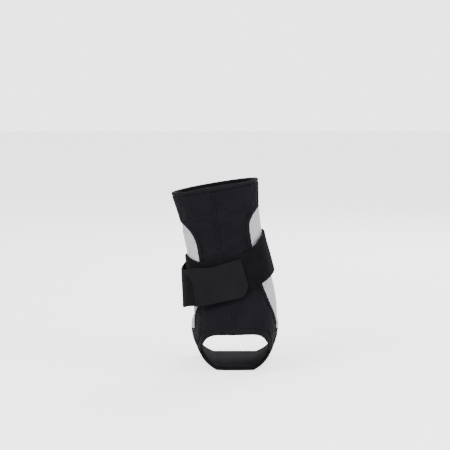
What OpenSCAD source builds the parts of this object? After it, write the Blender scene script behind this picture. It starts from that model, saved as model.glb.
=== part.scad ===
// Soft ankle support: a fabric and mesh sleeve with an open heel and one long wrap strap.
// Millimetres. +Z goes up the leg, +Y to the toes, +X to the side the strap end points to.
// The origin is on the flat underside of the sole, below the middle of the ankle.
//
// The sleeve surface is addressed by two numbers. u counts the stations, 0 at the top rim
// and 12 at the forefoot opening. a is the angle round it, 0 at the back and along the
// sole, 90 on the +X side, 180 down the front. The strap uses the same angle, but goes on
// past 360 where its second turn lies over its first one.

/* [Sleeve] */
// Height of the top rim above the sole
top_z = 178; // [172:1:186]
// Half width of the top rim
top_hw = 41.5; // [40:0.5:43]
// Half width of the ankle where it is narrowest
ankle_hw = 36; // [35:0.5:37.5]
// Half width of the forefoot opening
foot_hw = 43; // [41.5:0.5:44.5]
// How far forward the sole reaches
foot_y = 92; // [87:1:97]
// Sideways lean of the leg part, in degrees
leg_lean = 9.6; // [0:0.2:10.4]

/* [Fabrics] */
// Thickness of the foam-backed panels
panel_t = 3; // [2.4:0.1:3.4]
// Thickness of the spacer mesh
mesh_t = 2.4; // [1.8:0.1:3]
// Width of a flat seam
seam_w = 5; // [4:0.5:5.5]
// Thickness of a flat seam on the face
seam_t = 0.4; // [0.3:0.05:0.45]
// Width of the edge bindings
bind_w = 5; // [4.5:0.25:5.5]
// How far a binding stands out on each face
bind_h = 0.6; // [0.4:0.1:0.8]

/* [Strap] */
// Thickness of the loop-pile strap
strap_t = 2; // [1.6:0.1:2]
// Clearance of the strap from the sleeve
strap_gap = 0.95; // [0.9:0.05:1]
// Clearance between the first and the second turn
turn_gap = 0.5; // [0.4:0.05:0.6]
// How far the strap stands off the outer ankle at its upper edge
stand_top = 5.8; // [5:0.1:7]
// How far the strap stands off the outer ankle at its lower edge
stand_low = 9; // [8:0.1:10]
// Thickness of the smooth pull tab
tab_t = 1.6; // [1.2:0.1:1.8]
// Thickness of the hook tape under the pull tab
hook_t = 0.8; // [0.6:0.05:0.9]
// Angle at which the pull tab ends, past one full turn
tab_end_a = 377; // [372:1:379]

/* [Hidden] */

black = [0.07, 0.07, 0.08];
grey = [0.72, 0.71, 0.75];
pile = [0.04, 0.04, 0.045];

// One row per station: back y, z; front y, z; half width; squareness of back and front.
rows = [
    [-45.0, top_z, 39.0, top_z, top_hw, 2.10, 2.10],
    [-42.5, 150, 38.0, 152, ankle_hw + 1.5, 2.10, 2.10],
    [-41.0, 122, 40.0, 127, ankle_hw, 2.10, 2.10],
    [-43.5, 96, 45.0, 111, ankle_hw + 0.8, 2.15, 2.10],
    [-49.0, 70, 52.0, 100, 37.8, 2.15, 2.00],
    [-56.5, 43, 60.0, 91, 38.6, 2.15, 2.00],
    [-57.0, 16, 68.0, 84, 38.8, 2.10, 2.00],
    [-36.0, 1, 75.0, 78, 38.6, 2.10, 2.00],
    [-10.0, -3, 81.0, 73.5, 38.8, 2.20, 2.00],
    [20.0, -3, 86.0, 69.5, 39.6, 2.30, 2.00],
    [47.0, -3, 90.0, 66, (39.6 + foot_hw) / 2, 2.30, 2.05],
    [foot_y - 20, -3, 93.0, 63, foot_hw - 0.6, 2.30, 2.10],
    [foot_y, -3, foot_y + 3, 60, foot_hw, 2.30, 2.10]];
lean_z = 60;             // height the leg part leans about
lean_from = 35;          // the lean comes in between these two heights
lean_to = 90;
side_a = 88;             // side seams
d_top = [0.98, 0.9];     // station where the left and the right mesh begin
d_round = [0.9, 0.68];   // height of their rounded tops, in stations
rim = 0.19;              // station of the panels' upper edge
foot_edge = 11.76;       // station of the panels' forward edge
sole_u = 7.6;            // outer end of the seam between the heel wings and the sole

// ---- smooth curves through given rows and knots
function cubic(a, b, c, d, t) =
    0.5 * (2 * b + (c - a) * t + (2 * a - 5 * b + 4 * c - d) * t * t
           + (3 * b - a - 3 * c + d) * t * t * t);
function row_at(u) =
    let (n = len(rows), i = min(max(floor(u), 0), n - 2))
    cubic(rows[max(i - 1, 0)], rows[i], rows[i + 1], rows[min(i + 2, n - 1)], u - i);
function slope(k, i) =
    let (p = k[max(i - 1, 0)], q = k[min(i + 1, len(k) - 1)]) (q - p) / (q[0] - p[0]);
function seg(k, x, i = 0) = (i >= len(k) - 2 || x < k[i + 1][0]) ? i : seg(k, x, i + 1);
function knots(k, x0) =
    let (x = min(max(x0, k[0][0]), k[len(k) - 1][0]), i = seg(k, x), p = k[i], q = k[i + 1],
         h = q[0] - p[0], t = (x - p[0]) / h, m = slope(k, i) * h, n = slope(k, i + 1) * h)
    (2 * t * t * t - 3 * t * t + 1) * p + (t * t * t - 2 * t * t + t) * m
    + (3 * t * t - 2 * t * t * t) * q + (t * t * t - t * t) * n;
function ease(x) = let (s = min(max(x, 0), 1)) s * s * (3 - 2 * s);
function lerp(a, b, t) = a + (b - a) * t;

// ---- the sleeve surface, with o the distance outside it
function lean(p) =
    let (w = leg_lean * ease((p[2] - lean_from) / (lean_to - lean_from)), z = p[2] - lean_z)
    [p[0] * cos(w) - z * sin(w), p[1], lean_z + p[0] * sin(w) + z * cos(w)];
function surf(u, a, o) =
    let (r = row_at(u), c = [r[0] + r[2], r[1] + r[3]] / 2, d = [r[0] - r[2], r[1] - r[3]] / 2,
         ca = cos(a), sa = sin(a), e = 2 / (ca > 0 ? r[5] : r[6]),
         q = c + (norm(d) + o) * sign(ca) * pow(abs(ca), e) * d / norm(d))
    lean([(r[4] + o) * sign(sa) * pow(abs(sa), e), q[0], max(q[1], -min(o, 0))]);
function out_dir(u, a) =      // square to the surface
    let (v = cross(surf(u + 0.04, a, 0) - surf(u - 0.04, a, 0),
                   surf(u, a + 1, 0) - surf(u, a - 1, 0))) v / norm(v);
function on_floor(p) = [p[0], p[1], max(p[2], 0)];

// ---- the outline of the mesh panels: rear edge and front edge as angles
rear_k = [[0.9, 40.5], [2, 40.5], [2.5, 40], [3, 41], [3.8, 46], [4.4, 53], [5, 64],
          [5.5, 73], [6.1, 81], [6.8, 85.5], [7.6, 86.5], [12, 84]];
front_k = [[0.9, 134], [2, 136], [3, 139], [4, 140], [5, 139], [6, 137], [7.6, 134],
           [9, 131], [12, 128]];
// g is the side, -1 for the left (-X) and 1 for the right
function d_width(u, g) =
    let (k = g < 0 ? 0 : 1, x = min(max((u - d_top[k]) / d_round[k], 0), 1))
    sqrt(1 - (1 - x) * (1 - x));
function rear_a(u, g) = lerp(side_a, knots(rear_k, u)[1], d_width(u, g));
function front_a(u, g) = lerp(side_a, knots(front_k, u)[1], d_width(u, g));
// Stations of the rows shared by neighbouring panels, closer together round the mesh's top
cuff_u = [rim, 0.45, 0.7, 0.9];
d_u = [0.906, 0.922, 0.948, 0.98, 0.987, 1.01, 1.05, 1.11, 1.2, 1.33, 1.5, 1.75];
leg_u = [2.1, 2.6, 3.1, 3.6, 4.1, 4.6, 5, 5.4, 5.8, 6.2, 6.6, 7.1, 7.6];
foot_u = [8.1, 8.7, 9.4, 10.1, 10.9, foot_edge];
wing_u = concat(cuff_u, d_u, leg_u);

// ---- the heel opening: half of its edge, from the crown (0) by the corner (9) to the
// middle of the sole's rear edge (14)
hole_k = [[0, 4.91, 0], [1, 4.93, 12], [2, 5.01, 25], [3, 5.17, 37], [4, 5.42, 47.5],
          [5, 5.74, 55.5], [6, 6.12, 61.2], [7, 6.60, 64.4], [8, 7.06, 65.2], [9, 7.40, 62.6],
          [10, 7.63, 56], [11, 7.84, 45], [12, 8.03, 31], [13, 8.13, 15], [14, 8.16, 0]];
function hole(s) = let (k = knots(hole_k, s)) [k[1], k[2]];
// places across half of the rear panel, and where the columns there meet the opening
across = [0, 0.12, 0.24, 0.36, 0.47, 0.56, 0.63, 0.68, 0.72, 0.755, 0.79, 0.82, 0.91, 1];
meet_k = [[0, 0], [0.2, 1], [0.39, 2], [0.54, 3], [0.64, 4], [0.70, 5], [0.74, 6],
          [0.775, 7], [0.80, 8], [0.82, 9]];
corner_q = 0.82;
// the seam between wing and sole, from the opening's corner (0) to the mesh (1)
function wing_end(q, g) = let (c = hole(9))
    [lerp(c[0], sole_u, q), lerp(c[1], rear_a(sole_u, g), q)];

// ---- solids from a row of closed sections, each paired outer face against inner face
module skin(sec, closed = false) {
    n = len(sec);
    m = len(sec[0]);
    sides = [for (i = [0:n - (closed ? 1 : 2)], j = [0:m - 1])
        let (k = (i + 1) % n, l = (j + 1) % m, a = i * m + j, b = i * m + l, c = k * m + l,
             d = k * m + j) each [[a, b, c], [a, c, d]]];
    z = (n - 1) * m;
    caps = closed ? [] : [for (j = [0:m / 2 - 2]) each [
        [j + 1, j, m - 1 - j], [j + 1, m - 1 - j, m - 2 - j],
        [z + j, z + j + 1, z + m - 2 - j], [z + j, z + m - 2 - j, z + m - 1 - j]]];
    polyhedron([for (s = sec, p = s) p], concat(sides, caps), convexity = 8);
}
// g is a list of rows of [u, a, outer offset, inner offset]
module sheet(g) {
    skin([for (r = g) concat([for (p = r) surf(p[0], p[1], p[2])],
                             [for (i = [len(r) - 1:-1:0]) surf(r[i][0], r[i][1], r[i][3])])]);
}
// A flat strip laid along a list of [u, a, o]; s0 to s1 across it and h0 to h1 above the surface
module strip(c, s0, s1, h0, h1, closed = false, drop = 0) {
    n = len(c);
    p = [for (q = c) surf(q[0], q[1], q[2])];
    skin([for (i = [0:n - 1])
        let (f = closed ? (i + 1) % n : min(i + 1, n - 1),
             b = closed ? (i + n - 1) % n : max(i - 1, 0),
             t = (p[f] - p[b]) / norm(p[f] - p[b]), w = out_dir(c[i][0], c[i][1]),
             e = w - t * (t * w), nn = e / norm(e), s = cross(nn, t))
        [on_floor(p[i] + s * s0 + nn * h1), on_floor(p[i] + s * s1 + nn * (h1 - drop)),
         p[i] + s * s1 + nn * (h0 - drop), p[i] + s * s0 + nn * h0]], closed);
}
function mirror_a(c) = [for (i = [len(c) - 1:-1:0]) [c[i][0], -c[i][1], c[i][2]]];

// ---- sleeve panels
module rear_panel() {
    n = len(across);
    function foot(q, g) =    // lower end of a column: on the opening, then on the sole seam
        q <= corner_q ? hole(knots(meet_k, q)[1])
                      : wing_end((q - corner_q) / (1 - corner_q), g);
    color(black)
    sheet([for (i = [n - 1:-1:1 - n])
        let (g = i < 0 ? -1 : 1, q = across[abs(i)], b = foot(q, g), e = b[1] / rear_a(b[0], g))
        [for (w = wing_u)
            let (v = (w - rim) / (sole_u - rim), u = lerp(rim, b[0], v))
            [u, g * rear_a(u, g) * lerp(q, e, ease(v)), 0, -panel_t]]]);
}
module sole_panel() {
    color(black)
    sheet([for (i = [0:8])
        let (v = i / 8)
        [for (j = [-9:9])
            let (g = j < 0 ? -1 : 1, k = abs(j),
                 e = k <= 7 ? hole(14 - 5 * k / 7) : wing_end((k - 7) / 2, g),
                 u = lerp(e[0], foot_edge, v))
            [u, g * lerp(e[1], k / 9 * rear_a(u, g), k == 9 ? 1 : ease(v * 2)), 0, -panel_t]]]);
}
module instep_panel() {
    color(black)
    sheet([for (u = concat(cuff_u, d_u, leg_u, foot_u))
        [for (j = [0:10])
            [u, lerp(front_a(u, 1), 360 - front_a(u, -1), j / 10), 0, -panel_t]]]);
}
module mesh_side(g) {
    d = [for (u = d_u) if (u > (g < 0 ? d_top[0] : d_top[1])) u];
    color(grey)
    sheet([for (u = concat(d, leg_u, foot_u))
        [for (j = [0:6])
            let (q = g > 0 ? j / 6 : 1 - j / 6)
            [u, g * lerp(rear_a(u, g), front_a(u, g), q), 0, -mesh_t]]]);
}

// ---- bindings: each fills the last few millimetres of its edge
function lap(a) = ease((a + 29) / 5) * ease((-5 - a) / 5);   // raised overlap at the back
module top_binding() {
    n = 54;
    color(black)
    skin([for (i = [0:n - 1])
        let (a = -180 + 360 * i / n, k = lap(a), c = -0.06 * k, o = bind_h + 0.5 * k)
        [surf(rim - 0.01, a, o), surf(0.05 + c, a, o), surf(-0.005 + c, a, -0.2),
         surf(-0.005 + c, a, -panel_t + 0.2), surf(0.05 + c, a, -panel_t - bind_h),
         surf(rim - 0.01, a, -panel_t - bind_h)]], closed = true);
}
module forefoot_binding() {
    n = 48;
    w = bind_w / 20;
    color(black)
    skin([for (i = [0:n - 1])
        let (a = 180 - 360 * i / n, e = foot_edge + 0.015)
        [surf(e, a, bind_h), surf(e + w - 0.05, a, bind_h), surf(e + w, a, -0.2),
         surf(e + w, a, -panel_t + 0.2), surf(e + w - 0.05, a, -panel_t - bind_h),
         surf(e, a, -panel_t - bind_h)]], closed = true);
}
half_hole = concat([for (q = across) if (q <= corner_q) hole(knots(meet_k, q)[1])],
                   [for (k = [6:-1:0]) hole(14 - 5 * k / 7)]);
heel_loop = let (n = len(half_hole)) concat(
    [for (i = [n - 1:-1:0]) [half_hole[i][0], half_hole[i][1], 0]],
    [for (i = [1:n - 2]) [half_hole[i][0], -half_hole[i][1], 0]]);
module heel_binding() {
    color(black) strip(heel_loop, 0.7, bind_w, -panel_t - 0.3, 0.3, closed = true, drop = 0.2);
}

// ---- flat seams, just above the face of the panels
module seam(c) { color(black) strip(c, -seam_w / 2, seam_w / 2, 0.22, 0.22 + seam_t); }
function edge_u(g) =
    let (k = g < 0 ? 0 : 1)
    concat([for (w = [0, 0.2, 0.4, 0.6, 0.76, 0.88, 0.96, 1])
                d_top[k] + d_round[k] * (1 - sqrt(1 - w * w))], leg_u,
           [for (u = foot_u) min(u, foot_edge - 0.05)]);
rear_line = [for (u = edge_u(1)) [u, rear_a(u, 1), 0]];
rear_line_l = [for (u = edge_u(-1)) [u, rear_a(u, -1), 0]];
front_line = [for (u = edge_u(1)) [u, front_a(u, 1), 0]];
front_line_l = [for (u = edge_u(-1)) [u, front_a(u, -1), 0]];
cuff_line = [for (i = [0:4]) [lerp(0.22, 0.8, i / 4), side_a, 0]];
heel_line = [for (i = [0:5]) let (w = wing_end(lerp(0.1, 0.8, i / 5), 1)) [w[0], w[1], 0]];
back_line = [for (i = [0:16]) let (u = lerp(0.24, 4.72, i / 16)) [u, -1.5 - 6 * sin(38 * u), 0]];

// ---- the strap: upper and lower edge as stations, against the angle wound
edge_k = [[-105, 2.40, 4.45], [-78, 2.27, 4.10], [-42, 2.43, 3.95], [-6, 2.44, 3.78],
          [12, 2.41, 3.71], [35, 2.28, 3.64], [77, 1.92, 3.70], [110, 1.88, 3.98],
          [145, 2.01, 4.50], [180, 2.25, 4.98], [210, 2.50, 5.22], [235, 2.75, 5.35],
          [250, 2.87, 5.30], [270, 2.94, 5.08], [293, 2.78, 4.43], [316, 2.63, 4.10],
          [343, 2.60, 3.88], [368, 2.50, 3.80], [384, 2.48, 3.78]];
function at(t, v) = let (k = knots(edge_k, t)) lerp(k[1], k[2], v);
function bump(t, c, w) = exp(-pow((t - c) / w, 2));
over = strap_gap + strap_t + turn_gap;        // lowest the second turn can lie
// inner face of the pile strap: snug behind, easing off at the side and over the instep
lift_k = [[-105, 0, 0], [20, 0, 0], [55, 0.3, 0.9], [90, 0.5, 2.3], [130, 0.6, 1.6],
          [180, 0.9, 1.0], [215, 1.0, 1.2], [235, 1.4, 2.0],
          [250, stand_top - 2.2, stand_low - 3.6], [262, stand_top - 1, stand_low - 1.4],
          [275, stand_top - 0.9, stand_low - 0.95], [290, stand_top - 1.3, stand_low - 1.5],
          [305, stand_top - 2.1, stand_low - 3.0], [322, stand_top - 2.9, stand_low - 4.5]];
function under(t, v) = let (k = knots(lift_k, t)) strap_gap + lerp(k[1], k[2], v);
// inner face of the pull tab: on the strap's end first, then down onto the first turn
seat = over + hook_t + 0.1;
function tab_under(t, v) =
    let (on = under(min(t, 321), v) + strap_t + 0.25, w = ease((t - 321) / 32))
    lerp(on, seat, w) + 1.2 * (1 - v) * bump(t, 341, 9);

side_t = 235.4;          // fold lines: strap side, pull tab, tab tip
mid_t = 334;
tip_t = 358;
split = 0.35;            // half of the gap left at each fold line, in degrees

function span(t0, t1, n) = [for (i = [0:n]) lerp(t0, t1, i / n)];
module pile_strap(ts) {
    color(pile)
    sheet([for (j = [0:5])
        let (v = j / 5)
        [for (t = ts) [at(t, v), t, under(t, v) + strap_t, under(t, v)]]]);
}
// rows of a tab piece: each runs from its own first angle to its own last one
function tab_rows(first, last, n, m, h0, h1, low = 0, high = 1) =
    [for (j = [0:m])
        let (v = lerp(low, high, j / m))
        [for (i = [0:n])
            let (t = lerp(first(v), last(v), i / n))
            [at(t, v), t, tab_under(t, v) + h1, tab_under(t, v) + h0]]];
sewn_edge = function (v) 312 - 24 * pow(1 - min(v / 0.42, 1), 2);
tip_edge = function (v)                       // slanted, with a well rounded lower corner
    tab_end_a + 4.5 * min(v, 0.7) - 15 * (1 - sqrt(1 - pow(max(v - 0.66, 0) / 0.345, 2)))
    - 3 * (1 - sqrt(1 - pow(max(0.06 - v, 0) / 0.0605, 2)));

// ---- what is drawn
rear_panel();
sole_panel();
instep_panel();
mesh_side(-1);  // mesh_left
mesh_side(1);  // mesh_right
top_binding();
heel_binding();
forefoot_binding();
seam(back_line);  // back_seam
seam(mirror_a(cuff_line));  // side_seam_left
seam(cuff_line);  // side_seam_right
seam(mirror_a(rear_line_l));  // rear_seam_left
seam(rear_line);  // rear_seam_right
seam(mirror_a(front_line_l));  // front_seam_left
seam(front_line);  // front_seam_right
seam(mirror_a(heel_line));  // heel_seam_left
seam(heel_line);  // heel_seam_right
strap_wrap();
anchor_seam();
strap_side();
tab_sewn();
tab_seam();
tab_mid();
hook_mid();
tab_tip();
hook_tip();

module strap_wrap() { pile_strap(span(-105, side_t - split, 56)); }
module strap_side() { pile_strap(span(side_t + split, 320, 17)); }
module anchor_seam() {
    color(pile)
    strip([for (j = [0:6]) let (v = lerp(0.08, 0.92, j / 6)) [at(-99, v), -99, strap_gap + strap_t]],
          -2, 2, 0.08, 0.3);
}
module tab_sewn() {
    color(black)
    sheet(tab_rows(sewn_edge, function (v) mid_t - split, 10, 8, 0, tab_t));
}
module tab_seam() {
    color(black)
    strip([for (j = [0:10]) let (v = lerp(0.04, 0.97, j / 10), t = sewn_edge(v) + 2.6)
               [at(t, v), t, tab_under(t, v) + tab_t]], -1.2, 1.2, 0.2, 0.5);
}
module tab_mid() {
    color(black)
    sheet(tab_rows(function (v) mid_t + split, function (v) tip_t - split, 7, 6, 0, tab_t));
}
module hook_mid() {
    color(pile)
    sheet(tab_rows(function (v) mid_t + 1.5, function (v) tip_t - 1, 7, 4, -hook_t - 0.05, -0.05,
                   0.07, 0.93));
}
module tab_tip() {
    color(black)
    sheet(tab_rows(function (v) tip_t + split, tip_edge, 6, 16, 0, tab_t));
}
module hook_tip() {
    color(pile)
    sheet(tab_rows(function (v) tip_t + 1, function (v) tip_edge(v) - 3, 5, 8, -hook_t - 0.05,
                   -0.05, 0.07, 0.93));
}
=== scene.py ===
import math
import bpy
import bmesh
import numpy as np
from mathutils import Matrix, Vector


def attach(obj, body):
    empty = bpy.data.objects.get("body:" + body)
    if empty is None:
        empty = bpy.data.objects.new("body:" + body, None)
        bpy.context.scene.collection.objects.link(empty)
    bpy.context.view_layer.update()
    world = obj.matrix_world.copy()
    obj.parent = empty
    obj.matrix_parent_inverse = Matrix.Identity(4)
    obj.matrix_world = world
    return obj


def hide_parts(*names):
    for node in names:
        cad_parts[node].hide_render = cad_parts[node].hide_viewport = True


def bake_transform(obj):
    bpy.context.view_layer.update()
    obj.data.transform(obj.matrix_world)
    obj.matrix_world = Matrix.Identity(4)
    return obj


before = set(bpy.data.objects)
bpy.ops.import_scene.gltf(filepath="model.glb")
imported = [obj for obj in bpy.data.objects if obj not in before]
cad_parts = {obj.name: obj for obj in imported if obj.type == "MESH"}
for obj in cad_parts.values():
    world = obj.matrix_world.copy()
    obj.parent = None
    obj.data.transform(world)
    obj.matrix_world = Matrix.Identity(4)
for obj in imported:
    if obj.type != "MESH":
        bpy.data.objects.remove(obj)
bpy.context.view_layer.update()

MM = 0.001

# Everything below is worked out in millimetres and turned into metres by collect().
# A place on the sleeve is (u, a): u counts the rows of ROWS, from the top rim at 0 to the
# forefoot at 12, and a is the angle round the row in degrees, 0 at the back, 90 at the right and
# 180 at the front. A third number is the height above that surface. g is -1 on the left side
# and 1 on the right.

# ------------------------------------------------------------------ the sleeve's surface
# Each row: back point y, z; front point y, z; half width; roundness at the back and the front.
LEAN_FROM, LEAN_OVER, LEAN_PIVOT = 35.0, 55.0, 60.0      # the leg leans over these heights
TOP_Z, TOP_HW, ANKLE_HW, FOOT_HW, FOOT_Y, LEAN = 178.0, 41.5, 36.0, 43.0, 92.0, 9.6
ROWS = np.array([
    [-45.0, TOP_Z, 39.0, TOP_Z, TOP_HW, 2.10, 2.10],
    [-42.5, 150, 38.0, 152, ANKLE_HW + 1.5, 2.10, 2.10],
    [-41.0, 122, 40.0, 127, ANKLE_HW, 2.10, 2.10],
    [-43.5, 96, 45.0, 111, ANKLE_HW + 0.8, 2.15, 2.10],
    [-49.0, 70, 52.0, 100, 37.8, 2.15, 2.00],
    [-56.5, 43, 60.0, 91, 38.6, 2.15, 2.00],
    [-57.0, 16, 68.0, 84, 38.8, 2.10, 2.00],
    [-36.0, 1, 75.0, 78, 38.6, 2.10, 2.00],
    [-10.0, -3, 81.0, 73.5, 38.8, 2.20, 2.00],
    [20.0, -3, 86.0, 69.5, 39.6, 2.30, 2.00],
    [47.0, -3, 90.0, 66, (39.6 + FOOT_HW) / 2, 2.30, 2.05],
    [FOOT_Y - 20, -3, 93.0, 63, FOOT_HW - 0.6, 2.30, 2.10],
    [FOOT_Y, -3, FOOT_Y + 3, 60, FOOT_HW, 2.30, 2.10]])
RIM, FOOT_EDGE, SOLE_U, SIDE_A, PANEL_T, MESH_T = 0.19, 11.76, 7.6, 88.0, 3.0, 2.4


def row_at(u):
    """A smooth curve through ROWS."""
    u = np.asarray(u, float)
    n = len(ROWS)
    i = np.clip(np.floor(u).astype(int), 0, n - 2)
    t = (u - i)[..., None]
    a, b, c, d = ROWS[np.maximum(i - 1, 0)], ROWS[i], ROWS[i + 1], ROWS[np.minimum(i + 2, n - 1)]
    return 0.5 * (2 * b + (c - a) * t + (2 * a - 5 * b + 4 * c - d) * t ** 2
                  + (3 * b - a - 3 * c + d) * t ** 3)


def knots(k, x):
    """A smooth curve through the rows of k, whose first column is x."""
    k = np.asarray(k, float)
    x = np.clip(np.asarray(x, float), k[0, 0], k[-1, 0])
    n = len(k)
    i = np.clip(np.searchsorted(k[:, 0], x, side="right") - 1, 0, n - 2)
    up, dn = np.minimum(np.arange(n) + 1, n - 1), np.maximum(np.arange(n) - 1, 0)
    sl = (k[up] - k[dn]) / (k[up, :1] - k[dn, :1])
    p, q = k[i], k[i + 1]
    h = (q[..., 0] - p[..., 0])[..., None]
    t = (x - p[..., 0])[..., None] / h
    m, e = sl[i] * h, sl[i + 1] * h
    return ((2 * t ** 3 - 3 * t ** 2 + 1) * p + (t ** 3 - 2 * t ** 2 + t) * m
            + (3 * t ** 2 - 2 * t ** 3) * q + (t ** 3 - t ** 2) * e)


def ease(x):
    s = np.clip(x, 0, 1)
    return s * s * (3 - 2 * s)


def lerp(a, b, t):
    return a + (b - a) * t


def soft(x, k):
    """Keeps the sign of x. A power k under 1 squares a circle off, over 1 pinches it."""
    return np.sign(x) * np.abs(x) ** k


def lean(p):
    w = np.radians(LEAN * ease((p[..., 2] - LEAN_FROM) / LEAN_OVER))
    z = p[..., 2] - LEAN_PIVOT
    return np.stack([p[..., 0] * np.cos(w) - z * np.sin(w), p[..., 1],
                     LEAN_PIVOT + p[..., 0] * np.sin(w) + z * np.cos(w)], -1)


def surf(u, a, o=0.0):
    """The point at (u, a), o above the sleeve's surface."""
    u, a, o = np.broadcast_arrays(np.asarray(u, float), np.asarray(a, float), np.asarray(o, float))
    r = row_at(u)
    b, f = r[..., 0:2], r[..., 2:4]
    c, d = (b + f) / 2, (b - f) / 2
    hd = np.linalg.norm(d, axis=-1)
    ca, sa = np.cos(np.radians(a)), np.sin(np.radians(a))
    e = 2 / np.where(ca > 0, r[..., 5], r[..., 6])
    q = c + ((hd + o) * soft(ca, e) / hd)[..., None] * d
    x = (r[..., 4] + o) * soft(sa, e)
    return lean(np.stack([x, q[..., 0], np.maximum(q[..., 1], -np.minimum(o, 0))], -1))


def unit(v):
    return v / np.maximum(np.linalg.norm(v, axis=-1, keepdims=True), 1e-9)


def out_dir(u, a):
    """Square to the surface, outwards."""
    du = surf(u + 0.04, a) - surf(u - 0.04, a)
    da = surf(u, a + 1.0) - surf(u, a - 1.0)
    return unit(np.cross(du, da))


# Seam lines as [u, a]: behind and in front of the mesh. HOLE_K and MEET_K are the heel opening:
# [place along the edge, u, a], and where the rear panel's columns meet it.
REAR_K = [[0.9, 40.5], [2, 40.5], [2.5, 40], [3, 41], [3.8, 46], [4.4, 53], [5, 64],
          [5.5, 73], [6.1, 81], [6.8, 85.5], [7.6, 86.5], [12, 84]]
FRONT_K = [[0.9, 134], [2, 136], [3, 139], [4, 140], [5, 139], [6, 137], [7.6, 134],
           [9, 131], [12, 128]]
D_TOP, D_ROUND = {-1: 0.98, 1: 0.9}, {-1: 0.9, 1: 0.68}   # the mesh's round top: u, and its height
HOLE_K = [[0, 4.91, 0], [1, 4.93, 12], [2, 5.01, 25], [3, 5.17, 37], [4, 5.42, 47.5],
          [5, 5.74, 55.5], [6, 6.12, 61.2], [7, 6.60, 64.4], [8, 7.06, 65.2], [9, 7.40, 62.6],
          [10, 7.63, 56], [11, 7.84, 45], [12, 8.03, 31], [13, 8.13, 15], [14, 8.16, 0]]
MEET_K = [[0, 0], [0.2, 1], [0.39, 2], [0.54, 3], [0.64, 4], [0.70, 5], [0.74, 6],
          [0.775, 7], [0.80, 8], [0.82, 9]]
CORNER = 0.82
LEFT_FORWARD, LEFT_U, LEFT_REACH, REAR_MAX = 8.5, 5.05, 1.15, 87.0


def d_width(u, g):
    x = np.clip((np.asarray(u, float) - D_TOP[g]) / D_ROUND[g], 0, 1)
    return np.sqrt(1 - (1 - x) ** 2)


def round_top(g, w):
    """Rows down the mesh's round top, at widths w from 0 at its crown to 1."""
    return D_TOP[g] + D_ROUND[g] * (1 - np.sqrt(1 - w ** 2))


def rear_a(u, g):
    """Rear edge of the mesh. On the left the black cloth reaches further round the heel."""
    hump = np.exp(-((np.asarray(u, float) - LEFT_U) / LEFT_REACH) ** 2)
    forward = LEFT_FORWARD * hump if g < 0 else 0.0
    return lerp(SIDE_A, np.minimum(knots(REAR_K, u)[..., 1] + forward, REAR_MAX), d_width(u, g))


def front_a(u, g):
    return lerp(SIDE_A, knots(FRONT_K, u)[..., 1], d_width(u, g))


def back_a(u):
    """The centre back seam."""
    return -1.5 - 6 * np.sin(np.radians(38 * u))


def hole(s):
    k = knots(HOLE_K, s)
    return k[..., 1], k[..., 2]


def wing_end(q, g):
    """The lower end of the heel wing, where it is sewn to the sole panel."""
    cu, ca = hole(9.0)
    return lerp(cu, SOLE_U, q), lerp(ca, rear_a(SOLE_U, g), q)


# ------------------------------------------------------------------ meshes
def set_uv(me, uvs):
    """One (u, v) in millimetres for each vertex, for the weave."""
    lay = me.uv_layers.new(name="cloth")
    idx = np.empty(len(me.loops), int)
    me.loops.foreach_get("vertex_index", idx)
    lay.data.foreach_set("uv", np.asarray(uvs, float)[idx].astype(np.float32).ravel())


def collect(name, verts, faces, uvs=None):
    """A smooth-shaded object from vertices in millimetres."""
    me = bpy.data.meshes.new(name)
    me.from_pydata((np.asarray(verts) * MM).tolist(), [], faces)
    me.update()
    bm = bmesh.new()
    bm.from_mesh(me)
    bmesh.ops.recalc_face_normals(bm, faces=bm.faces)
    bm.to_mesh(me)
    bm.free()
    if uvs is not None:
        set_uv(me, uvs)
    for p in me.polygons:
        p.use_smooth = True
    o = bpy.data.objects.new(name, me)
    bpy.context.scene.collection.objects.link(o)
    return o


def shell(outer, inner):
    """A closed shell from two (n, m, 3) grids: vertices, faces and weave coordinates."""
    n, m = outer.shape[:2]
    verts = np.concatenate([outer.reshape(-1, 3), inner.reshape(-1, 3)])
    k = n * m
    f = []
    for i in range(n - 1):
        for j in range(m - 1):
            a = i * m + j
            b, c, d = a + 1, a + m + 1, a + m
            f.append((a, b, c, d))
            f.append((a + k, d + k, c + k, b + k))
    for a in range(m - 1):                               # the rims of the first and last row
        f.append((a + 1, a, a + k, a + 1 + k))
        b = (n - 1) * m + a
        f.append((b, b + 1, b + 1 + k, b + k))
    for i in range(n - 1):                               # and of the first and last column
        a, d = i * m, (i + 1) * m
        f.append((a, d, d + k, a + k))
        b, c = a + m - 1, d + m - 1
        f.append((c, b, b + k, c + k))
    uv = uv_from(outer).reshape(-1, 2)
    return verts, f, np.concatenate([uv, uv])


def tube(rings, loop=False):
    """rings is (n, m, 3): n closed sections of m points."""
    n, m = rings.shape[:2]
    f = []
    for i in range(n if loop else n - 1):
        k = (i + 1) % n
        for j in range(m):
            r = (j + 1) % m
            f.append((i * m + j, i * m + r, k * m + r, k * m + j))
    if not loop:
        f.append(tuple(range(m - 1, -1, -1)))
        f.append(tuple((n - 1) * m + j for j in range(m)))
    return rings.reshape(-1, 3), f


class Bag:
    """Gathers several closed forms into one mesh."""
    def __init__(self):
        self.v, self.f, self.n = [], [], 0

    def add(self, v, f):
        self.v.append(np.asarray(v))
        self.f += [tuple(i + self.n for i in q) for q in f]
        self.n += len(v)

    def make(self, name):
        return collect(name, np.concatenate(self.v), self.f)


def uv_from(points):
    """Distances along both directions of a grid of points, in millimetres, for the weave."""
    du = np.linalg.norm(np.diff(points, axis=0), axis=-1)
    dv = np.linalg.norm(np.diff(points, axis=1), axis=-1)
    u = np.concatenate([np.zeros((1, points.shape[1])), np.cumsum(du, 0)])
    v = np.concatenate([np.zeros((points.shape[0], 1)), np.cumsum(dv, 1)], 1)
    v = v - v[:, points.shape[1] // 2][:, None]
    return np.stack([v, u], -1)


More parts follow.
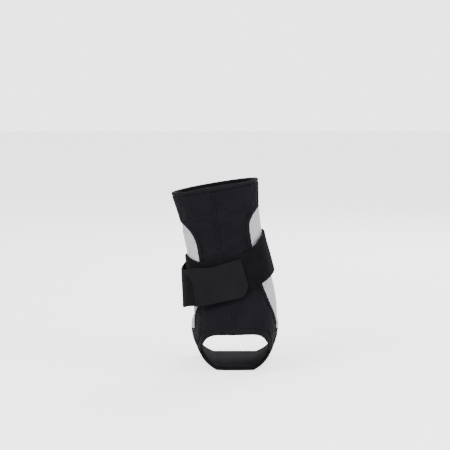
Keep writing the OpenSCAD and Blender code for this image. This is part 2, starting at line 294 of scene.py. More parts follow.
def folds(u, a):
    """Small soft unevenness of the cloth, in millimetres."""
    x = np.radians(a)
    w = (0.30 * np.sin(3.1 * u + 2.0 * np.sin(x) + 0.7) * np.sin(2 * x + 0.9 * u)
         + 0.22 * np.sin(7.3 * u - 3.0 * np.cos(x) + 1.9) * np.cos(3 * x + 0.5)
         + 0.12 * np.sin(13.0 * u + 5.0 * x))
    crease = 0.0
    # creases across the front: row, width in rows, depth
    for cu, wu, h in ((2.15, 0.12, 0.55), (5.55, 0.16, 0.6), (6.1, 0.13, 0.7), (6.7, 0.15, 0.5)):
        crease = crease + h * np.exp(-((u + 0.25 * np.cos(2 * x) - cu) / wu) ** 2) * \
            np.clip(-np.cos(x) - 0.35, 0, 1)
    return w - crease


def puff(dist, depth, reach):
    """The cloth drops to a seam: by depth at the seam, and not at all further off than reach."""
    return -depth * (1 - ease(np.asarray(dist) / reach))


# Cloth simulation: frames, how much too large the cloth is cut, the most it may move, the width
# of the held edge and of the fade beside it. TOP_FOLD keeps every fold under the strap.
SIM_FRAMES, SIM_GROW, SIM_CAP, SIM_HELD, SIM_FADE, TOP_FOLD = 20, 0.035, 1.3, 2.0, 5, 0.7


def drape(u, a, o, dist, stride):
    """Cloth simulation of one panel, held at its seams and cut a little too large for its
    place, so that it buckles. It runs on every stride-th row and column. o is the height of the
    cloth before it and dist the distance to the nearest seam. Returns the new heights."""
    ri = np.unique(np.append(np.arange(0, u.shape[0], stride[0]), u.shape[0] - 1))
    ci = np.unique(np.append(np.arange(0, u.shape[1], stride[1]), u.shape[1] - 1))
    uu, aa, oo, dd = (x[np.ix_(ri, ci)] for x in (u, a, o, dist))
    p = surf(uu, aa, oo)
    n, m = uu.shape
    quads = [(i * m + j, i * m + j + 1, (i + 1) * m + j + 1, (i + 1) * m + j)
             for i in range(n - 1) for j in range(m - 1)]
    me = bpy.data.meshes.new("drape")
    me.from_pydata((p.reshape(-1, 3) * MM).tolist(), [], quads)
    ob = bpy.data.objects.new("drape", me)
    bpy.context.scene.collection.objects.link(ob)
    held = ob.vertex_groups.new(name="held")
    edge = np.zeros((n, m), bool)
    edge[0] = edge[-1] = edge[:, 0] = edge[:, -1] = True
    for k in np.flatnonzero((edge | (dd < SIM_HELD)).ravel()):
        held.add([int(k)], 1.0, "REPLACE")
    cloth = ob.modifiers.new("cloth", "CLOTH")
    c = cloth.settings
    c.quality, c.mass = 6, 0.2
    c.tension_stiffness = c.compression_stiffness = 20
    c.shear_stiffness, c.bending_stiffness = 8, 1.5
    c.vertex_group_mass = "held"
    c.shrink_min = -SIM_GROW
    c.effector_weights.gravity = 0
    cloth.collision_settings.use_collision = False
    scene = bpy.context.scene
    cloth.point_cache.frame_start, cloth.point_cache.frame_end = 1, SIM_FRAMES
    for f in range(1, SIM_FRAMES + 1):
        scene.frame_set(f)
    done = ob.evaluated_get(bpy.context.evaluated_depsgraph_get()).data
    q = np.empty(len(done.vertices) * 3)
    done.vertices.foreach_get("co", q)
    # only the movement square to the surface is kept, so the panel's outline stays
    move = ((q.reshape(n, m, 3) / MM - p) * out_dir(uu, aa)).sum(-1)
    move = SIM_CAP * np.tanh(move / SIM_CAP)
    scene.frame_set(1)
    bpy.data.objects.remove(ob)
    bpy.data.meshes.remove(me)
    rows = np.array([np.interp(np.arange(u.shape[1]), ci, r) for r in move])
    full = np.array([np.interp(np.arange(u.shape[0]), ri, col) for col in rows.T]).T
    return np.minimum(o + full * ease(dist / SIM_FADE), TOP_FOLD)


# ------------------------------------------------------------------ materials
def new_mat(name):
    m = bpy.data.materials.new(name)
    m.use_nodes = True
    nt = m.node_tree
    b = nt.nodes["Principled BSDF"]
    return m, nt, b


def node(nt, kind, **kw):
    n = nt.nodes.new(kind)
    for k, v in kw.items():
        setattr(n, k, v)
    return n


def link(nt, a, b):
    nt.links.new(a, b)


def math_node(nt, op, a, b=None, c=None, clamp=False):
    n = node(nt, "ShaderNodeMath", operation=op, use_clamp=clamp)
    for i, v in enumerate((a, b, c)):
        if v is None:
            continue
        if isinstance(v, (int, float)):
            n.inputs[i].default_value = v
        else:
            link(nt, v, n.inputs[i])
    return n.outputs[0]


def cloth_coords(nt):
    uv = node(nt, "ShaderNodeUVMap", uv_map="cloth")
    sep = node(nt, "ShaderNodeSeparateXYZ")
    link(nt, uv.outputs[0], sep.inputs[0])
    return sep.outputs[0], sep.outputs[1]


def ramp(nt, fac, a, b, lo=0.0, hi=1.0):
    r = node(nt, "ShaderNodeValToRGB")
    r.color_ramp.elements[0].position = lo
    r.color_ramp.elements[1].position = hi
    r.color_ramp.elements[0].color = (*a, 1)
    r.color_ramp.elements[1].color = (*b, 1)
    link(nt, fac, r.inputs[0])
    return r.outputs[0]


def noise(nt, vec, scale, detail=3.0, rough=0.55):
    n = node(nt, "ShaderNodeTexNoise")
    n.inputs["Scale"].default_value = scale
    n.inputs["Detail"].default_value = detail
    n.inputs["Roughness"].default_value = rough
    link(nt, vec, n.inputs["Vector"])
    return n.outputs["Fac"]


def bump(nt, b, height, strength, distance):
    n = node(nt, "ShaderNodeBump")
    n.inputs["Strength"].default_value = strength
    n.inputs["Distance"].default_value = distance
    link(nt, height, n.inputs["Height"])
    link(nt, n.outputs[0], b.inputs["Normal"])


def mix(nt, a, wa, b, wb):
    """a and b added with their weights."""
    return math_node(nt, "ADD", math_node(nt, "MULTIPLY", a, wa), math_node(nt, "MULTIPLY", b, wb))


def sheen(b, weight, rough, tint=None):
    b.inputs["Sheen Weight"].default_value = weight
    b.inputs["Sheen Roughness"].default_value = rough
    if tint is not None:
        b.inputs["Sheen Tint"].default_value = (*tint, 1)


def obj_coords(nt):
    return node(nt, "ShaderNodeTexCoord").outputs["Object"]


def knit_mat(name, dark, light, rough, shine, pitch, strength):
    """A fine jersey face: columns of small loops."""
    m, nt, b = new_mat(name)
    x, y = cloth_coords(nt)
    fx = math_node(nt, "SINE", math_node(nt, "MULTIPLY", x, 2 * math.pi / pitch))
    fy = math_node(nt, "SINE", mix(nt, y, 2 * math.pi / (pitch * 0.8), fx, 1.1))
    h = mix(nt, fx, 0.5, fy, 0.35)
    big = noise(nt, obj_coords(nt), 60.0, 4.0)
    fine = noise(nt, obj_coords(nt), 2600.0, 2.0)
    col = ramp(nt, mix(nt, big, 0.75, fine, 0.25), dark, light, 0.3, 0.72)
    link(nt, col, b.inputs["Base Color"])
    b.inputs["Roughness"].default_value = rough
    sheen(b, shine, 0.45, (0.62, 0.64, 0.74))
    b.inputs["Specular IOR Level"].default_value = 0.1
    bump(nt, b, h, strength, 0.00012)
    return m


def mesh_mat(name):
    """Spacer mesh: staggered round holes in a pale knit."""
    m, nt, b = new_mat(name)
    x, y = cloth_coords(nt)
    px, py = 2.3, 2.0                                    # hole pitch across and along
    hole_r, rim = 0.5, 0.4
    far = 1000.0                                         # keeps the counts positive

    def off_centre(v):
        return math_node(nt, "SUBTRACT",
                         math_node(nt, "FRACT", math_node(nt, "ADD", v, far)), 0.5)

    row = math_node(nt, "DIVIDE", y, py)
    count = math_node(nt, "FLOOR", math_node(nt, "ADD", row, far))
    odd = math_node(nt, "MULTIPLY", math_node(nt, "MODULO", count, 2.0), 0.5)
    dx = off_centre(math_node(nt, "ADD", math_node(nt, "DIVIDE", x, px), odd))
    dy = off_centre(row)
    r = math_node(nt, "SQRT", mix(nt, math_node(nt, "MULTIPLY", dx, dx), px * px,
                                  math_node(nt, "MULTIPLY", dy, dy), py * py))
    h = math_node(nt, "DIVIDE", math_node(nt, "SUBTRACT", r, hole_r), rim, clamp=True)
    fuzz = noise(nt, obj_coords(nt), 1500.0, 3.0)
    col = ramp(nt, mix(nt, h, 0.86, fuzz, 0.14), (0.11, 0.103, 0.117), (0.66, 0.632, 0.68),
               0.0, 0.92)
    link(nt, col, b.inputs["Base Color"])
    b.inputs["Roughness"].default_value = 0.62
    sheen(b, 0.08, 0.4)
    b.inputs["Specular IOR Level"].default_value = 0.25
    bump(nt, b, h, 0.9, 0.0004)
    return m


def pile_mat(name):
    """Brushed loop pile: soft, very dark, with a velvet sheen."""
    m, nt, b = new_mat(name)
    vec = obj_coords(nt)
    loops = noise(nt, vec, 1700.0, 3.0, 0.7)
    brush = noise(nt, vec, 90.0, 4.0, 0.6)
    tone = mix(nt, loops, 0.5, brush, 0.5)
    col = ramp(nt, tone, (0.0028, 0.0028, 0.0036), (0.0085, 0.0083, 0.0098), 0.3, 0.72)
    link(nt, col, b.inputs["Base Color"])
    b.inputs["Roughness"].default_value = 0.95
    b.inputs["Specular IOR Level"].default_value = 0.04
    sheen(b, 0.03, 0.35, (0.55, 0.56, 0.64))
    bump(nt, b, tone, 0.7, 0.0006)
    return m


def thread_mat(name, col):
    m, nt, b = new_mat(name)
    f = noise(nt, obj_coords(nt), 1200.0, 2.0)
    c = ramp(nt, f, tuple(x * 0.65 for x in col), tuple(min(x * 1.5, 1) for x in col), 0.3, 0.7)
    link(nt, c, b.inputs["Base Color"])
    b.inputs["Roughness"].default_value = 0.6
    b.inputs["Specular IOR Level"].default_value = 0.12
    bump(nt, b, f, 0.3, 0.0002)
    return m


def hook_mat(name):
    m, nt, b = new_mat(name)
    v = node(nt, "ShaderNodeTexVoronoi")
    v.inputs["Scale"].default_value = 1100.0
    link(nt, obj_coords(nt), v.inputs["Vector"])
    # painted highlight on the hook tops and painted shade between the hooks, both following the
    # bump
    c = ramp(nt, v.outputs["Distance"], (0.045, 0.045, 0.05), (0.008, 0.008, 0.009), 0.0, 0.6)
    link(nt, c, b.inputs["Base Color"])
    b.inputs["Roughness"].default_value = 0.42
    n = math_node(nt, "SUBTRACT", 1.0, v.outputs["Distance"])
    bump(nt, b, n, 0.9, 0.0006)
    return m


PANEL = knit_mat("panel_cloth", (0.0045, 0.0041, 0.0066), (0.0069, 0.0063, 0.0094),
                 rough=0.88, shine=0.005, pitch=0.9, strength=0.2)
LINING = knit_mat("lining_cloth", (0.010, 0.010, 0.012), (0.018, 0.018, 0.021),
                  rough=0.9, shine=0.02, pitch=1.1, strength=0.35)
TABM = knit_mat("tab_cloth", (0.0048, 0.0046, 0.0060), (0.0074, 0.0071, 0.0089),
                rough=0.8, shine=0.005, pitch=0.7, strength=0.16)
BIND = knit_mat("binding_cloth", (0.0050, 0.0047, 0.0068), (0.0080, 0.0075, 0.0104),
                rough=0.88, shine=0.005, pitch=0.6, strength=0.3)
MESHM = mesh_mat("spacer_mesh")
PILE = pile_mat("loop_pile")
THREAD = thread_mat("black_thread", (0.0072, 0.0068, 0.0090))
HOOK = hook_mat("hook_tape")


def finish_piece(o, mat, body, nodes):
    o.data.materials.append(mat)
    if body:
        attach(o, body)
    if nodes:
        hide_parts(*nodes)
    return o


# ------------------------------------------------------------------ panels
# Seam distances in this part are rough: a degree is about 0.7 mm and a row about 25 mm.
def panel(name, u, a, height, thick, mat, nodes):
    """A panel of cloth from a grid of places. Its inner face gets the lining."""
    outer = surf(u, a, height)
    inner = surf(u, a, -thick + 0.25 * (height - height.mean()))
    o = collect(name, *shell(outer, inner))
    o.data.materials.append(mat)
    o.data.materials.append(LINING if mat is PANEL else mat)
    for p in o.data.polygons:
        p.material_index = 1 if all(i >= u.size for i in p.vertices) else 0
    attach(o, "sleeve")
    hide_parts(*nodes)
    return o


def rows_u():
    """Rows from the top rim to the sole seam, closest together at the mesh's round top."""
    top = np.linspace(RIM, 0.89, 14)
    d = 0.9 + 1.0 * np.linspace(0, 1, 44) ** 2
    rest = np.linspace(1.9, SOLE_U, 92)
    return np.unique(np.concatenate([top, d, rest]))


def rear_piece():
    # columns on one side, from the centre back at 0 to the mesh at 1
    qs = np.concatenate([np.linspace(0, 0.56, 20)[:-1], np.linspace(0.56, CORNER, 22)[:-1],
                         np.linspace(CORNER, 1, 10)])
    w = rows_u()
    cols_u, cols_a, dist = [], [], []
    for i in range(-(len(qs) - 1), len(qs)):
        g = -1 if i < 0 else 1
        q = qs[abs(i)]
        if q <= CORNER:
            bu, ba = hole(float(knots(MEET_K, q)[1]))
        else:
            bu, ba = wing_end((q - CORNER) / (1 - CORNER), g)
        e = ba / rear_a(bu, g)
        v = (w - RIM) / (SOLE_U - RIM)
        u = lerp(RIM, bu, v)
        ra = rear_a(u, g)
        a = g * ra * lerp(q, e, ease(v))
        cols_u.append(u)
        cols_a.append(a)
        side = np.abs(ra - np.abs(a)) * 0.68
        end = (bu - u) * 25
        back = np.abs(a - back_a(u)) * 0.68
        dist.append(np.minimum(np.minimum(side, end + 1.5), back + 1.0))
    u, a, d = np.array(cols_u).T, np.array(cols_a).T, np.array(dist).T
    o = drape(u, a, folds(u, a) * ease(d / 6) * 0.8 + puff(d, 0.7, 4.5), d, (3, 2))
    return panel("rear_cloth", u, a, o, PANEL_T - 0.3, PANEL, ["rear_panel"])


def sole_piece():
    cols_u, cols_a, dist = [], [], []
    vs = np.linspace(0, 1, 70)
    for j in np.linspace(-1, 1, 91):
        # k runs from 0 at the middle, past 7 at the wing's corner, to 9 at the mesh
        g, k = (-1 if j < 0 else 1), abs(j) * 9
        if k <= 7:
            eu, ea = hole(14 - 5 * k / 7)
        else:
            eu, ea = wing_end((k - 7) / 2, g)
        u = lerp(eu, FOOT_EDGE, vs)
        a = g * lerp(ea, k / 9 * rear_a(u, g), 1.0 if k >= 9 else ease(vs * 2))
        cols_u.append(u)
        cols_a.append(a)
        dist.append(np.minimum(np.abs(rear_a(u, g) - np.abs(a)) * 0.7, (u - eu) * 24 + 1))
    u, a, d = np.array(cols_u).T, np.array(cols_a).T, np.array(dist).T
    flat = np.clip((np.abs(a) - 28) / 20, 0, 1)          # no folds where it stands on the floor
    o = drape(u, a, folds(u, a) * 0.5 * ease(d / 6) + puff(d, 0.6, 4.0), d, (2, 2)) * flat
    return panel("sole_cloth", u, a, o, PANEL_T - 0.3, PANEL, ["sole_panel"])


def instep_piece():
    u1 = np.unique(np.concatenate([rows_u(), np.linspace(SOLE_U, FOOT_EDGE, 50)]))
    q = np.linspace(0, 1, 70)
    u = np.repeat(u1[:, None], len(q), 1)
    lo, hi = front_a(u1, 1)[:, None], (360 - front_a(u1, -1))[:, None]
    a = lerp(lo, hi, q[None])
    d = np.minimum(a - lo, hi - a) * 0.7
    o = drape(u, a, folds(u, a) * 1.25 * ease(d / 6) + puff(d, 0.7, 4.5), d, (3, 2))
    return panel("instep_cloth", u, a, o, PANEL_T - 0.3, PANEL, ["instep_panel"])


def mesh_piece(g):
    top = round_top(g, np.linspace(0.05, 1, 34))
    u1 = np.concatenate([top, np.linspace(top[-1], FOOT_EDGE, 170)[1:]])
    q = np.linspace(0, 1, 60)
    u = np.repeat(u1[:, None], len(q), 1)
    lo, hi = rear_a(u1, g)[:, None], front_a(u1, g)[:, None]
    a = lerp(lo, hi, q[None])
    d = np.minimum(a - lo, hi - a) * 0.7
    d = np.minimum(d, (u - D_TOP[g]) * 28 + 0.5)
    o = drape(u, g * a, folds(u, g * a + 40) * 0.9 * ease(d / 6) + puff(d, 0.7, 4.0), d, (3, 2))
    side = "right" if g > 0 else "left"
    return panel("mesh_cloth_" + side, u[:, ::g], g * a[:, ::g], o[:, ::g], MESH_T - 0.2,
                 MESHM, ["mesh_" + side])


# ------------------------------------------------------------------ edges, seams, threads
ROUND_H, ROUND_W = 0.62, 0.72          # how square a rolled edge is, in height and in width
ROUND = np.linspace(0, 2 * np.pi, 20, endpoint=False)


def frames(u, a, o=0.0, loop=False):
    """Points of a line on the sleeve, with the directions along it, outwards and sideways."""
    p = surf(u, a, o)
    if loop:
        t = unit(np.roll(p, -1, 0) - np.roll(p, 1, 0))
    else:
        t = unit(np.gradient(p, axis=0))
    w = out_dir(u, a)
    n = unit(w - t * (t * w).sum(-1, keepdims=True))
    return p, t, n, np.cross(n, t)


def length_along(p):
    return np.concatenate([[0], np.cumsum(np.linalg.norm(np.diff(p, axis=0), axis=-1))])


def lap(a):
    """1 where the ends of the top binding overlap, at the back."""
    return ease((a + 29) / 5) * ease((-5 - a) / 5)


def stitch_run(bag, p, t, n, step=2.6, length=1.9, r=0.24, slant=0.0):
    """Short threads lying along a line of points, sunk a little into the cloth."""
    sink = 0.05
    turns = (0, math.pi / 3, 2 * math.pi / 3, math.pi, 4 * math.pi / 3, 5 * math.pi / 3)
    d = length_along(p)
    m = int(d[-1] / step)
    if m < 1:
        return
    s = np.cross(n, t)
    for i in range(m):
        c = (i + 0.5) * d[-1] / m
        k = [np.array([np.interp(c, d, x[:, j]) for j in range(3)]) for x in (p, t, n, s)]
        tt = unit(k[1] + slant * k[3] * (1 if i % 2 else -1))
        side = np.cross(k[2], tt)
        rings = []
        for x, q in ((-0.5, 0.35), (-0.38, 0.9), (0.0, 1.0), (0.38, 0.9), (0.5, 0.35)):
            lift = r * 0.7 * (1 - (2 * x) ** 2) - sink
            ctr = k[0] + tt * x * length + k[2] * lift
            rings.append([ctr + r * q * (math.cos(b) * side + math.sin(b) * k[2])
                          for b in turns])
        bag.add(*tube(np.array(rings)))


def planar_uv(o, skew_x=1.0, skew_z=0.3):
    """The weave of a rolled edge, from its points' places."""
    set_uv(o.data, np.array([(v.co.x + v.co.y * skew_x, v.co.z - v.co.y * skew_z)
                             for v in o.data.vertices]) * 1000)


def top_piece():
    uc, ru = 0.5 * (RIM + 0.005), 0.5 * (RIM - 0.005)
    c, s = soft(np.cos(ROUND), ROUND_H), soft(np.sin(ROUND), ROUND_W)
    rings = []
    for a in np.linspace(180, -180, 300, endpoint=False):
        k = lap(a)
        wob = 0.10 * np.sin(np.radians(a * 5)) + 0.08 * np.sin(np.radians(a * 11 + 40))
        o = -1.45 + (1.75 + 0.5 * k) * c + 0.45 * k + wob * 0.6
        u = uc - 0.055 * k - (ru + 0.05 * k) * s + 0.006 * wob
        rings.append(surf(u, np.full_like(u, a), o))
    o = collect("top_edge", *tube(np.array(rings), loop=True))
    planar_uv(o, 0.0, 0.0)
    finish_piece(o, BIND, "sleeve", ["top_binding"])
    th = Bag()
    a = np.linspace(180, -180, 260)
    p, t, n, _ = frames(np.full_like(a, RIM - 0.045), a, 0.12 + 0.4 * lap(a))
    stitch_run(th, p, t, n)
    finish_piece(th.make("top_edge_thread"), THREAD, "sleeve", [])


def foot_piece():
    o = -1.5 + 1.75 * soft(np.cos(ROUND), ROUND_H)
    u = FOOT_EDGE + 0.13 + 0.12 * soft(np.sin(ROUND), ROUND_W)
    rings = [surf(u, np.full_like(u, a), o) for a in np.linspace(-180, 180, 280, endpoint=False)]
    o = collect("forefoot_edge", *tube(np.array(rings), loop=True))
    planar_uv(o)
    finish_piece(o, BIND, "sleeve", ["forefoot_binding"])
    th = Bag()
    a = np.linspace(36, 324, 240)                        # not where it stands on the floor
    p, t, n, _ = frames(np.full_like(a, FOOT_EDGE + 0.05), a, 0.15)
    stitch_run(th, p, t, n)
    finish_piece(th.make("forefoot_edge_thread"), THREAD, "sleeve", [])


def heel_piece():
    hu, ha = hole(np.linspace(0, 14, 140))
    u = np.concatenate([hu[::-1], hu[1:-1]])
    a = np.concatenate([ha[::-1], -ha[1:-1]])
    p0 = surf(u, a, 0.0)
    d = length_along(np.vstack([p0, p0[:1]]))
    m = 260
    c = np.linspace(0, d[-1], m, endpoint=False)         # evenly spaced round the loop
    uu = np.interp(c, d, np.append(u, u[0]))
    aa = np.interp(c, d, np.append(a, a[0]))
    for _ in range(3):
        uu = (np.roll(uu, 1) + 2 * uu + np.roll(uu, -1)) / 4
        aa = (np.roll(aa, 1) + 2 * aa + np.roll(aa, -1)) / 4
    p, t, n, _ = frames(uu, aa, 0.0, loop=True)
    for _ in range(6):
        n = unit(np.roll(n, 1, 0) + 2 * n + np.roll(n, -1, 0))
    s = np.cross(n, t)
    h = -1.5 + 1.75 * soft(np.cos(ROUND), ROUND_H)
    w = 1.85 + 3.0 * soft(np.sin(ROUND), ROUND_W)        # reaches over the panel's edge
    rings = p[:, None] + s[:, None] * w[None, :, None] + n[:, None] * h[None, :, None]
    rings[..., 2] = np.maximum(rings[..., 2], 0.0)
    o = collect("heel_edge", *tube(rings, loop=True))
    planar_uv(o)
    finish_piece(o, BIND, "sleeve", ["heel_binding"])
    th = Bag()
    line = p + s * 1.2 + n * 0.22
    clear = line[:, 2] > 1.0                             # stitches only where it is off the floor
    first = int(np.argmax(~clear)) if (~clear).any() else 0
    order = [i for i in np.roll(np.arange(m), -first) if clear[i]]
    stitch_run(th, line[order], t[order], n[order])
    finish_piece(th.make("heel_edge_thread"), THREAD, "sleeve", [])


# A flat seam's section from side to side, as parts of its width, and the heights there.
SEAM_W = np.array([-0.5, -0.44, -0.3, -0.12, -0.03, 0.03, 0.12, 0.3, 0.44, 0.5,
                   0.42, 0.0, -0.42])
SEAM_H = np.array([-0.30, 0.12, 0.42, 0.36, 0.18, 0.18, 0.36, 0.42, 0.12, -0.30,
                   -0.5, -0.5, -0.5])


def seam_piece(name, u, a, nodes, wide=5.0, high=1.0):
    """A flat seam along a line, beaten down between its stitches, with two rows of thread."""
    d = length_along(surf(u, a, 0.0))
    c = np.linspace(0, d[-1], max(int(d[-1] / 1.2), 8))
    p, t, n, s = frames(np.interp(c, d, u), np.interp(c, d, a), 0.0)
    beat = 0.05 * np.sin(c * 2 * np.pi / 1.5)
    rings = p[:, None] + s[:, None] * (SEAM_W * wide)[None, :, None] \
        + n[:, None] * high * (SEAM_H[None] + beat[:, None] * (SEAM_H[None] > 0))[..., None]
    o = collect(name, *tube(rings[:, ::-1]))
    planar_uv(o)
    finish_piece(o, BIND, "sleeve", nodes)
    th = Bag()
    for off in (-0.25 * wide, 0.25 * wide):
        stitch_run(th, p + s * off + n * 0.42 * high, t, n, step=1.7, length=2.0, r=0.2, slant=0.9)
    finish_piece(th.make(name + "_thread"), THREAD, "sleeve", [])


def all_seams():
    for g, side in ((-1, "left"), (1, "right")):
        u = np.concatenate([round_top(g, np.linspace(0, 1, 40)),
                            np.linspace(D_TOP[g] + D_ROUND[g], FOOT_EDGE, 240)[1:]])
        seam_piece("rear_join_" + side, u, g * rear_a(u, g), ["rear_seam_" + side])
        seam_piece("front_join_" + side, u, g * front_a(u, g), ["front_seam_" + side])
        u = np.linspace(RIM + 0.01, D_TOP[g] - 0.05, 30)
        seam_piece("side_join_" + side, u, np.full_like(u, g * SIDE_A), ["side_seam_" + side], 4.4)
        wu, wa = wing_end(np.linspace(0.06, 0.94, 20), g)
        seam_piece("heel_join_" + side, wu, g * wa, ["heel_seam_" + side], 4.4)
    u = np.linspace(RIM + 0.01, 4.78, 160)
    seam_piece("back_join", u, back_a(u), ["back_seam"], 2.6, 0.55)


# ------------------------------------------------------------------ the strap
# A place on the strap is (t, v): t is the angle along its winding in degrees, and v goes from
# its upper edge at 0 to its lower edge at 1. EDGE_K is [t, u of the upper edge, u of the lower
# edge], and LIFT_K is [t, height of the upper edge, of the lower edge] over the sleeve.
STRAP_GAP, STRAP_T, TURN_GAP, ST_TOP, ST_LOW = 0.95, 2.0, 0.5, 5.8, 9.0
TAB_T, HOOK_T, TAB_GAP, TAB_END = 1.6, 0.8, 0.25, 377.0
EDGE_K = [[-105, 2.40, 4.45], [-78, 2.27, 4.10], [-42, 2.43, 3.95], [-6, 2.44, 3.78],
          [12, 2.41, 3.71], [35, 2.28, 3.64], [77, 1.92, 3.70], [110, 1.88, 3.98],
          [145, 2.01, 4.50], [180, 2.25, 4.98], [210, 2.50, 5.22], [235, 2.75, 5.35],
          [250, 2.87, 5.30], [270, 2.94, 5.08], [293, 2.78, 4.43], [316, 2.63, 4.10],
          [343, 2.60, 3.88], [368, 2.50, 3.80], [384, 2.48, 3.78]]
LIFT_K = [[-105, 0, 0], [20, 0, 0], [55, 0.3, 0.9], [90, 0.5, 2.3], [130, 0.6, 1.6],
          [180, 0.9, 1.0], [215, 1.0, 1.2], [235, 1.4, 2.0],
          [250, ST_TOP - 2.2, ST_LOW - 3.6], [262, ST_TOP - 1, ST_LOW - 1.4],
          [275, ST_TOP - 0.9, ST_LOW - 0.95], [290, ST_TOP - 1.3, ST_LOW - 1.5],
          [305, ST_TOP - 2.1, ST_LOW - 3.0], [322, ST_TOP - 2.9, ST_LOW - 4.5]]
SEAT = STRAP_GAP + STRAP_T + TURN_GAP + HOOK_T + 0.1     # the tab's height on the first turn
SEAT_FROM, SEAT_OVER = 321, 32                           # where the tab comes down to it
START, WRAP_END, SIDE_END, UPPER_END = -105, 226, 320, 346.0     # where the pieces meet
SIDE_T, MID_T, TIP_T = 235.4, 334.0, 358.0               # the three fold lines
SIDE_ZONE, MID_ZONE, TIP_ZONE = (SIDE_T - 7, SIDE_T + 7), (MID_T - 5, MID_T + 5), \
    (TIP_T - 0.5, TIP_T + 8)                             # and zones round them


def at(t, v):
    """The sleeve's row u under a place on the strap."""
    k = knots(EDGE_K, t)
    return lerp(k[..., 1], k[..., 2], v)


def under(t, v):
    """Height of the strap's inner face."""
    k = knots(LIFT_K, t)
    return STRAP_GAP + lerp(k[..., 1], k[..., 2], v)


def tab_under(t, v):
    """Height of the tab's inner face: on the strap's end, then down to the first turn."""
    on = under(np.minimum(t, SEAT_FROM), v) + STRAP_T + TAB_GAP
    bulge = 1.2 * (1 - v) * np.exp(-((t - 341) / 9.) ** 2)
    return lerp(on, SEAT, ease((t - SEAT_FROM) / SEAT_OVER)) + bulge


def band(name, t, v, base, thick, edge=0.75, wave=0.0):
    """A flat band with softly rounded long edges, from (n, m) grids of strap places. edge is
    how much of the thickness the rounding takes, and wave is added to the height."""
    e = np.clip(np.minimum(v, 1 - v) / 0.045, 0, 1)
    full = np.sqrt(1 - (1 - e) ** 2)
    mid = base + thick / 2
    half = thick / 2 * (1 - edge + edge * full)
    u = at(t, v)
    return collect(name, *shell(surf(u, t, mid + half + wave), surf(u, t, mid - half + wave)))


def strap_wave(t, v):
    """The strap's own small unevenness: slight bow across and a soft ripple along."""
    x = np.radians(t)
    return 0.22 * np.sin(4 * x + 2 * v) * (0.4 + 0.6 * v) + 0.12 * np.sin(11 * x + 5 * v)


def bend_ends(zone, tab=False):
    """The two ends of a zone round a fold line, on the outer face half way across, in metres."""
    ends = []
    for t in zone:
        o = (tab_under(t, 0.5) + TAB_T) if tab else (under(t, 0.5) + STRAP_T)
        ends.append(tuple((surf(at(t, 0.5), t, o) * MM).tolist()))
    return ends


def strap_pieces():
    v = np.linspace(0, 1, 60)[None]
    t, vv = np.broadcast_arrays(np.linspace(START, WRAP_END, 420)[:, None], v)
    k = ease((t - 60) / 40)                              # the sewn-down start lies flat
    w = strap_wave(t, vv) * k * 0.9 + 0.12 * k
    wrap = band("strap_wrap_cloth", t, vv, under(t, vv), STRAP_T, wave=w)
    finish_piece(wrap, PILE, "sleeve", ["strap_wrap"])

    t, vv = np.broadcast_arrays(np.linspace(WRAP_END, SIDE_END, 160)[:, None], v)
    k = ease((300 - t) / 20)                             # and so does the end under the tab
    w = strap_wave(t, vv) * 0.9 * k + 0.12 * k
    side = band("strap_side_cloth", t, vv, under(t, vv), STRAP_T, wave=w)
    finish_piece(side, PILE, None, ["strap_side"])
    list(bend_ends(SIDE_ZONE))
    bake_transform(side)


def sewn_edge(v):
    """The tab's sewn end: t across the strap, bowed back at the top."""
    return 312 - 24 * (1 - np.minimum(v / 0.42, 1)) ** 2


def tip_edge(v):
    """The tab's free end: t across the strap, with one large and one small round corner."""
    return (TAB_END + 4.5 * np.minimum(v, 0.7)
            - 15 * (1 - np.sqrt(np.maximum(1 - (np.maximum(v - 0.66, 0) / 0.345) ** 2, 0)))
            - 3 * (1 - np.sqrt(np.maximum(1 - (np.maximum(0.06 - v, 0) / 0.0605) ** 2, 0))))


def strap_grid(first, last, rows):
    """Strap places between two ends, each a number or one for every v."""
    return lerp(first, last, np.linspace(0, 1, rows)[:, None])


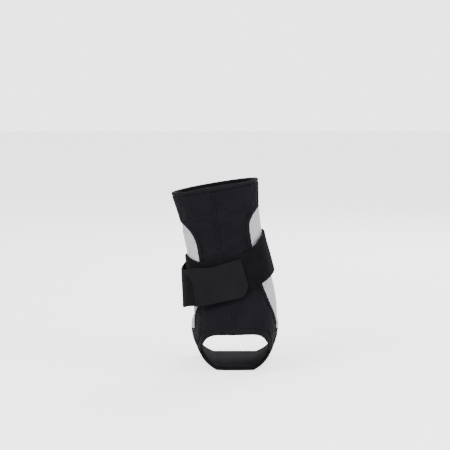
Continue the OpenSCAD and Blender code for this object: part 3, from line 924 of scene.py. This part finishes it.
def tab_pieces():
    v1 = np.linspace(0, 1, 64)
    t = strap_grid(sewn_edge(v1)[None], UPPER_END, 90)
    v = np.broadcast_to(v1[None], t.shape)
    low = 0.25 * np.exp(-((t - sewn_edge(v) - 3) / 2.0) ** 2)      # pressed down by the seam
    upper = band("tab_upper_cloth", t, v, tab_under(t, v) - 0.5 * low, TAB_T, edge=0.6)
    finish_piece(upper, TABM, None, ["tab_sewn", "tab_mid"])
    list(bend_ends(MID_ZONE, True))
    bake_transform(upper)

    t = strap_grid(UPPER_END, tip_edge(v1)[None], 70)
    v = np.broadcast_to(v1[None], t.shape)
    full = 1 - 0.55 * ease((t - tip_edge(v) + 3) / 3) ** 2         # thinner at the free end
    tip = band("tab_tip_cloth", t, v, tab_under(t, v) + TAB_T * (1 - full) * 0.5, TAB_T * full,
               edge=0.6)
    finish_piece(tip, TABM, None, ["tab_tip"])
    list(bend_ends(TIP_ZONE, True))
    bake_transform(tip)

    v1 = np.linspace(0.07, 0.93, 40)
    t = strap_grid(MID_T + 2.0, (tip_edge(v1) - 3)[None], 80)
    v = np.broadcast_to(v1[None], t.shape)
    u, o = at(t, v), tab_under(t, v)
    hook = collect("hook_cloth", *shell(surf(u, t, o - 0.05), surf(u, t, o - HOOK_T)))
    finish_piece(hook, HOOK, None, ["hook_mid", "hook_tip"])
    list(bend_ends(TIP_ZONE, True))
    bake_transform(hook)

    # stitching that holds the tab to the strap's end
    th = Bag()
    for off in (1.8, 3.6):
        v = np.linspace(0.03, 0.975, 90)
        t = sewn_edge(v) + off
        p, along, n, _ = frames(at(t, v), t, tab_under(t, v) + TAB_T - 0.05)
        stitch_run(th, p, along, n, step=2.3, length=1.8)
    finish_piece(th.make("tab_join_thread"), THREAD, "strap_part", ["tab_seam"])
    # bar of stitches at the strap's first end, 6 degrees in
    th = Bag()
    for off, slant in ((-3.0, 0.0), (0.0, 0.5), (3.0, 0.0)):
        v = np.linspace(0.06, 0.94, 60)
        t = np.full_like(v, START + 6.0 + off)
        p, along, n, _ = frames(at(t, v), t, STRAP_GAP + STRAP_T - 0.05)
        stitch_run(th, p, along, n, step=2.3, length=1.8, r=0.2, slant=slant)
    finish_piece(th.make("anchor_thread"), THREAD, "sleeve", ["anchor_seam"])


# ------------------------------------------------------------------ build
rear = rear_piece()
sole = sole_piece()
instep = instep_piece()
mesh_l = mesh_piece(-1)
mesh_r = mesh_piece(1)
top_piece()
heel_piece()
foot_piece()
all_seams()
strap_pieces()
tab_pieces()


# ------------------------------------------------------------------ stage, light, camera
# The camera sees the backdrop brighter than it lights the object.
WORLD_SEEN, FLOOR_SEEN, FLOOR_HALF, FLOOR_DROP = 3.4, 1.9, 6.0, 0.0004
CAM_DIST, CAM_UP, CAM_AT = 1.8, 5, Vector((-0.0098, 0.0, 0.138))


def stage_sheet():
    m, nt, b = new_mat("pale_backdrop")
    b.inputs["Base Color"].default_value = (0.9, 0.9, 0.9, 1)
    b.inputs["Roughness"].default_value = 0.9
    b.inputs["Specular IOR Level"].default_value = 0.1
    b.inputs["Emission Color"].default_value = (1, 1, 1, 1)
    seen = node(nt, "ShaderNodeLightPath").outputs["Is Camera Ray"]
    link(nt, math_node(nt, "MULTIPLY", seen, FLOOR_SEEN), b.inputs["Emission Strength"])
    me = bpy.data.meshes.new("floor")
    s = FLOOR_HALF
    me.from_pydata([(-s, -s, 0), (s, -s, 0), (s, s, 0), (-s, s, 0)], [], [(0, 1, 2, 3)])
    o = bpy.data.objects.new("floor", me)
    bpy.context.scene.collection.objects.link(o)
    o.location = (0, 0, -FLOOR_DROP)
    o.data.materials.append(m)


def area(name, loc, to, size, power):
    li = bpy.data.lights.new(name, "AREA")
    li.shape = "DISK"
    li.size = size
    li.energy = power
    o = bpy.data.objects.new(name, li)
    bpy.context.scene.collection.objects.link(o)
    o.location = loc
    o.rotation_euler = (Vector(to) - Vector(loc)).to_track_quat("-Z", "Y").to_euler()


def backdrop():
    world = bpy.data.worlds.new("soft_white")
    bpy.context.scene.world = world
    world.use_nodes = True
    wt = world.node_tree
    light = wt.nodes["Background"]
    light.inputs[0].default_value = (0.975, 0.98, 0.985, 1)
    light.inputs[1].default_value = 1.0
    white = node(wt, "ShaderNodeBackground")             # the white cove behind the object
    white.inputs[0].default_value = (1, 1, 1, 1)
    white.inputs[1].default_value = WORLD_SEEN
    pick = node(wt, "ShaderNodeMixShader")
    link(wt, node(wt, "ShaderNodeLightPath").outputs["Is Camera Ray"], pick.inputs[0])
    link(wt, light.outputs[0], pick.inputs[1])
    link(wt, white.outputs[0], pick.inputs[2])
    link(wt, pick.outputs[0], wt.nodes["World Output"].inputs[0])


def camera():
    cam = bpy.data.cameras.new("camera")
    cam.lens = 151.6
    cam.sensor_width = 36.0
    cam.clip_end = 60
    o = bpy.data.objects.new("camera", cam)
    bpy.context.scene.collection.objects.link(o)
    up = math.radians(CAM_UP)
    o.location = CAM_AT + Vector((0, -CAM_DIST * math.cos(up), CAM_DIST * math.sin(up)))
    o.rotation_euler = (math.radians(90 - CAM_UP), 0, 0)
    bpy.context.scene.camera = o


stage_sheet()
backdrop()
area("key", (-0.9, -1.3, 1.3), (0, 0, 0.1), 0.9, 34)
area("fill", (1.2, -0.9, 0.7), (0, 0, 0.1), 0.9, 14)
area("rim_light", (0.5, 1.3, 1.1), (0, 0, 0.12), 0.8, 18)
camera()
